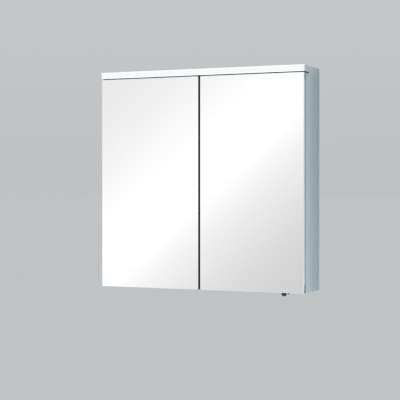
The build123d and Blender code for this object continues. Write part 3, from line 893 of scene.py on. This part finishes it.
low, high = corners("cable_grommet")
RING, HOLE, LIP = (high[0] - low[0]) / 2, 5 * MM, 1.2 * MM
RING_RISE = 4.5 * MM
ring_profile = [(HOLE, 0.6 * MM), (HOLE + 0.6 * MM, 0.0), (RING - LIP, 0.0),
                (RING - LIP, 2 * MM), (RING, 2 * MM), (RING, 3.6 * MM),
                (RING - 0.9 * MM, RING_RISE), (HOLE + 0.8 * MM, RING_RISE), (HOLE, 3.7 * MM)]
ring_base = ((low[0] + high[0]) / 2, high[1], (low[2] + high[2]) / 2)
ring = turned_ring(ring_base, OUT_OF_WALL, ring_profile)
add_piece("cable_ring", [ring], "cabinet", "black_rubber", ["cable_grommet"])

# %% [markdown]
# ## Floor
#
# The cabinet hangs high over a plain pale floor, so it can be looked at from below. The floor
# is so wide that its far edge almost meets the horizon. Mirrors and gloss don't see it: they
# see the lower half of the studio instead.


# %% Floor
def add_sheet(name, corner_points):
    """A flat stage piece with four corners."""
    mesh = bpy.data.meshes.new(name)
    mesh.from_pydata(corner_points, [], [(0, 1, 2, 3)])
    sheet = bpy.data.objects.new(name, mesh)
    bpy.context.scene.collection.objects.link(sheet)
    return sheet


FLOOR_DROP, REACH = 2.4, 400.0
floor_z = LOW[2] - FLOOR_DROP
floor = add_sheet("studio_floor", [(-REACH, -REACH, floor_z), (REACH, -REACH, floor_z),
                                   (REACH, REACH, floor_z), (-REACH, REACH, floor_z)])
floor_paint = start_finish("pale_floor", Base_Color=rgb(0.80, 0.80, 0.80), Roughness=0.9)[0]
floor.data.materials.append(floor_paint)
floor.visible_glossy = False
print("the floor lies", FLOOR_DROP, "m below the button")

# %% [markdown]
# ## Camera
#
# The camera stands in front on the right, a little below the middle of the cabinet's height,
# and looks to the left, almost level. CAMERA_RISE is measured from the carcass, which starts
# BUTTON_DROP above the lowest point. A long lens keeps the upright edges almost parallel.

# %% Camera
CAMERA_RIGHT, CAMERA_AHEAD, CAMERA_RISE = 1.528, 3.457, 0.325
TURN_LEFT, TILT_DOWN = math.radians(23.806), math.radians(0.610)
LENS, SENSOR = 107.4, 36.0
BUTTON_DROP = 14 * MM
camera_data = bpy.data.cameras.new("camera")
camera_data.lens = LENS
camera_data.sensor_width = SENSOR
camera = bpy.data.objects.new("camera", camera_data)
bpy.context.scene.collection.objects.link(camera)
camera.location = (CAMERA_RIGHT, LOW[1] - CAMERA_AHEAD, LOW[2] + BUTTON_DROP + CAMERA_RISE)
camera.rotation_euler = (math.pi / 2 - TILT_DOWN, 0, TURN_LEFT)
bpy.context.scene.camera = camera
print("camera at", tuple(round(value, 3) for value in camera.location))

# %% [markdown]
# ## World
#
# The world is a studio: a pale dome, with one broad soft light panel in front on the left, as a
# photographer sets up to give a mirror something to show. AROUND_STEPS lists the dome's tone
# from straight down at 0 to straight up at 1. It is brightest below, where it takes the floor's
# place in reflections, and darkest at the horizon. The panel's tone changes
# along one diagonal: its place is ACROSS times the ray's share to the right, less UPWARDS times
# its share upwards, plus MIDDLE. The direction of a ray alone decides it, so the doors show it
# truly when they swing. The panel fades into the dome away from where it faces the cabinet.


# %% World
STUDIO_GAIN = 1.15
AROUND_STEPS = [(0.0, 0.92), (0.34, 0.88), (0.44, 0.66), (0.47, 0.525), (0.5, 0.525),
                (0.56, 0.555), (0.75, 0.62), (1.0, 0.70)]
COOL_TINT = (0.98, 1.013, 1.041)
ACROSS, UPWARDS, MIDDLE = 5.9, 6.4, 1.055
PANEL_STEPS = [(0.0, 0.835), (0.25, 0.875), (0.5, 0.945), (0.75, 1.03), (0.95, 1.09),
               (1.1, 1.06), (1.2, 1.01), (1.3, 0.945), (1.45, 0.865), (1.6, 0.80),
               (1.78, 0.73), (2.07, 0.658), (2.4, 0.62)]
PANEL_FADE = (0.55, 0.9)


def grey_ramp(tree, share, steps, tint=(1.0, 1.0, 1.0)):
    """A smooth ramp of greys. Steps are (position from 0 to 1, brightness), and the studio's
    gain is taken out of them because a ramp can't hold more than 1."""
    ramp = add_node(tree, "ValToRGB", in_0=share)
    ramp.color_ramp.interpolation = "B_SPLINE"
    stops = ramp.color_ramp.elements
    while len(stops) < len(steps):
        stops.new(0.5)
    for stop, (place, level) in zip(stops, steps):
        stop.position = place
        stop.color = rgb(*(level * part / STUDIO_GAIN for part in tint))
    return ramp.outputs["Color"]


world = bpy.data.worlds.new("studio")
bpy.context.scene.world = world
world.use_nodes = True
sky = world.node_tree
where_to = sky.nodes.new("ShaderNodeTexCoord").outputs["Generated"]
mirror_look = np.array([-math.sin(TURN_LEFT), -math.cos(TURN_LEFT), 0.0])
mirror_right = np.array([math.cos(TURN_LEFT), -math.sin(TURN_LEFT), 0.0])
slope = ACROSS * mirror_right - UPWARDS * np.array([0.0, 0.0, 1.0])
along_panel = add_node(sky, "VectorMath", {"operation": "DOT_PRODUCT"}, in_0=where_to,
                       in_1=tuple(slope)).outputs["Value"]
place_on_panel = calculate(sky, "ADD", along_panel, MIDDLE)
last_step = PANEL_STEPS[-1][0]
panel_light = grey_ramp(sky, remap(sky, place_on_panel, 0.0, last_step, 0.0, 1.0),
                        [(place / last_step, level) for place, level in PANEL_STEPS])
up = add_node(sky, "SeparateXYZ", Vector=where_to).outputs["Z"]
studio_light = grey_ramp(sky, remap(sky, up, -1.0, 1.0, 0.0, 1.0), AROUND_STEPS, COOL_TINT)
facing = add_node(sky, "VectorMath", {"operation": "DOT_PRODUCT"}, in_0=where_to,
                  in_1=tuple(mirror_look)).outputs["Value"]
panel_mask = remap(sky, facing, *PANEL_FADE, 0.0, 1.0)
background = sky.nodes["Background"]
sky.links.new(mix_colours(sky, panel_mask, studio_light, panel_light), background.inputs["Color"])
background.inputs["Strength"].default_value = STUDIO_GAIN
print("the panel's brightest step is", max(level for _, level in PANEL_STEPS))

# %% [markdown]
# ## Lamps
#
# A large soft lamp high on the left gives the shapes their light side, and a small one low on
# the right opens up the lower end of the side panel. Both are soft, and both are hidden from
# the camera and from mirrors and glass, so neither shows as a bright square.


# %% Lamps
def softbox(name, place, target, size, power, tint):
    """A square area light that looks at a point, hidden from the camera, mirrors and glass."""
    data = bpy.data.lights.new(name, "AREA")
    data.size = size
    data.energy = power
    data.color = tint
    lamp = bpy.data.objects.new(name, data)
    bpy.context.scene.collection.objects.link(lamp)
    lamp.location = place
    look = np.array(target, float) - np.array(place, float)
    lamp.rotation_euler = Vector(look).to_track_quat("-Z", "Y").to_euler()
    lamp.visible_camera = False
    lamp.visible_glossy = False
    lamp.visible_transmission = False
    print(f"{name}: {size} m wide, {power} W, {np.linalg.norm(look):.1f} m from its target")


softbox("key_softbox", place=(-2.6, -3.0, 2.2), target=(0, 0, -0.2), size=1.8, power=70.0,
        tint=(1.0, 0.99, 0.97))
softbox("side_softbox", place=(1.35, -0.95, -1.0), target=(0.35, -0.15, -0.55), size=0.5,
        power=9.0, tint=(0.97, 0.99, 1.0))

# %% [markdown]
# ## Flags
#
# Against a wall, the end of a cabinet mirrors the dim corner beside it, so it darkens towards
# the back. There is no wall here. A narrow dark flag beside each back edge is a painted
# reflection of that shade: only reflections see it, while the camera, the shadows and the
# diffuse light don't. It fades out with distance, so an open door doesn't mirror it.


# %% Flags beside the back edges
FLAG_GAP, FLAG_WIDTH = 2 * MM, 42 * MM
FLAG_NEAR, FLAG_FAR = 90 * MM, 150 * MM


def add_flag(name, x0, x1):
    """An upright dark strip in the wall's plane that only reflections can see: a painted reflection
    of the wall's shade.
    """
    flag = add_sheet(name, [(x0, 0, LOW[2]), (x1, 0, LOW[2]), (x1, 0, HIGH[2]), (x0, 0, HIGH[2])])
    flag.visible_camera = False
    flag.visible_diffuse = False
    flag.visible_shadow = False
    flag.visible_transmission = False
    flag.data.materials.append(shade_reflection_flag)


# Painted reflection: this blue-grey stands in for the shaded wall beside the cabinet.
shade_reflection_flag, flag_tree, flag_shader, _ = start_finish(
    "shade_reflection_flag", Base_Color=rgb(0.27, 0.36, 0.40), Roughness=1.0)
flag_reach = add_node(flag_tree, "LightPath").outputs["Ray Length"]
flag_tree.links.new(remap(flag_tree, flag_reach, FLAG_NEAR, FLAG_FAR, 1.0, 0.0),
                    flag_shader.inputs["Alpha"])
add_flag("flag_right", HIGH[0] + FLAG_GAP, HIGH[0] + FLAG_GAP + FLAG_WIDTH)
add_flag("flag_left", LOW[0] - FLAG_GAP - FLAG_WIDTH, LOW[0] - FLAG_GAP)
print("flags:", round(FLAG_WIDTH / MM), "mm wide,", round(FLAG_GAP / MM), "mm from the cabinet")

# %% [markdown]
# ## Finish
#
# The standard view keeps the greys of the materials as they are, where a filmic one would
# flatten them.

# %% Finish
bpy.context.scene.view_settings.view_transform = "Standard"
